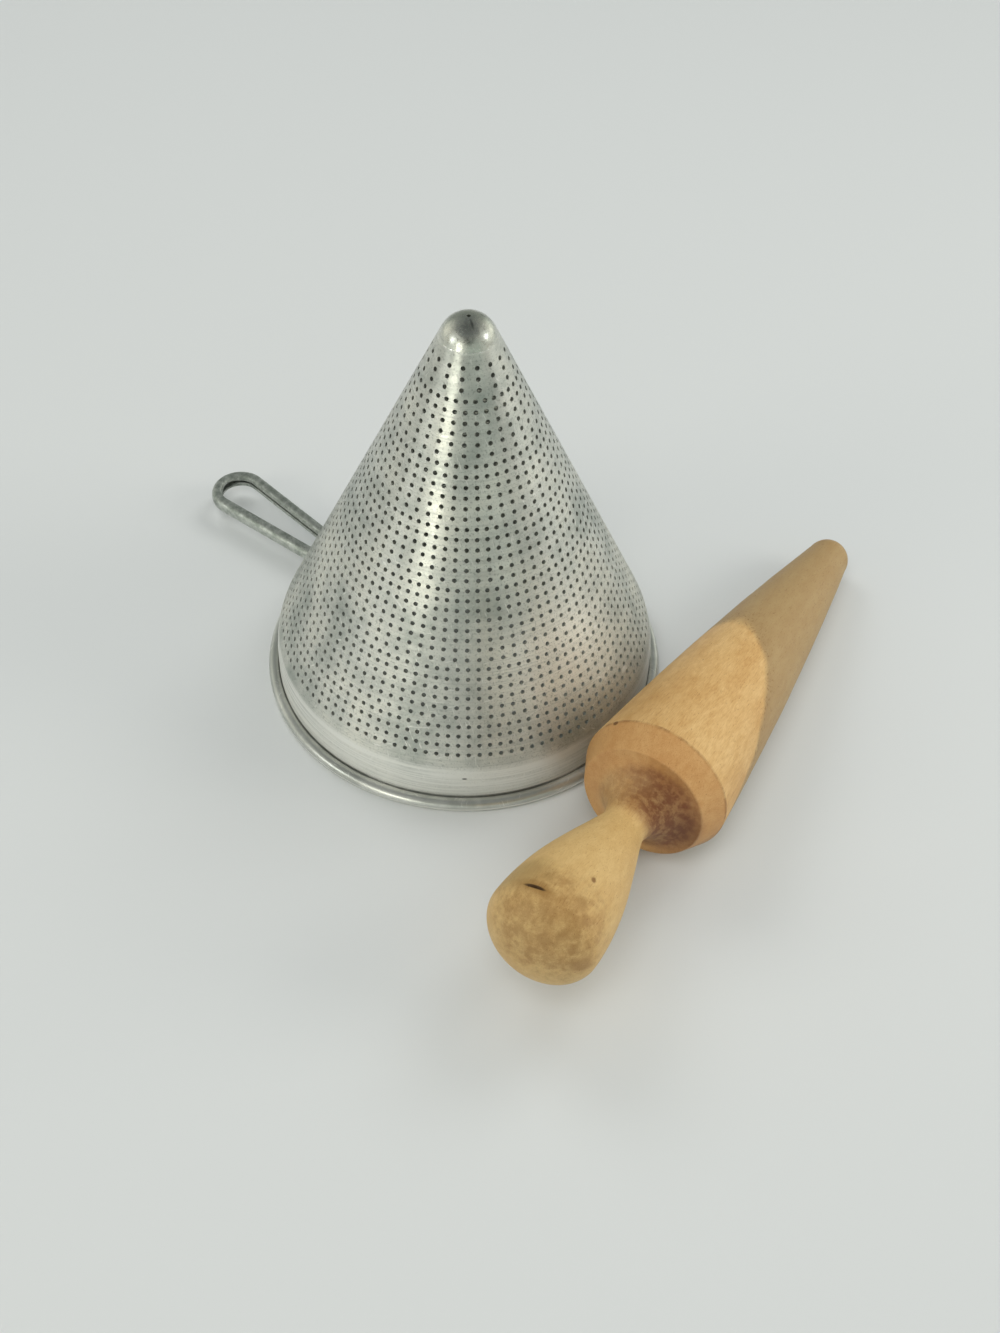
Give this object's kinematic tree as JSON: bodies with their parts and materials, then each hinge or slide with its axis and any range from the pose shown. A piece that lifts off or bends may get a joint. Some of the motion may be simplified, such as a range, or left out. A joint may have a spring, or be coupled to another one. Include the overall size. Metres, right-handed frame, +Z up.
{
  "type": "cone colander with pestle",
  "caption": "Perforated sheet cone with a rolled rim, a domed tip and a hairpin strip handle, standing on its mouth, with a turned wooden pestle lying beside it.",
  "frame": {"origin": "on the cone's axis, on the surface that its rolled rim stands on", "axes": "+Z up the cone's axis through its tip; the handle points along -X; the pestle lies on the +X side, its knob towards -Y"},
  "size_m": [0.3355, 0.3005, 0.202],
  "materials": {
    "strainer": "satin, worn, with fine scratches",
    "handle": "plated strip, polished and tarnished",
    "rivets": "satin",
    "pestle": "bare turned maple, worn smooth"
  },
  "bodies": {
    "colander": {"strainer": "strainer", "handle": "handle", "rivets": "rivets"},
    "pestle": {"pestle": "pestle"}
  },
  "joints": [
    {"name": "pestle_lift", "type": "slide", "parent": "colander", "child": "pestle", "axis": [0, 0, 1], "range_m": [0, 0.25]}
  ]
}
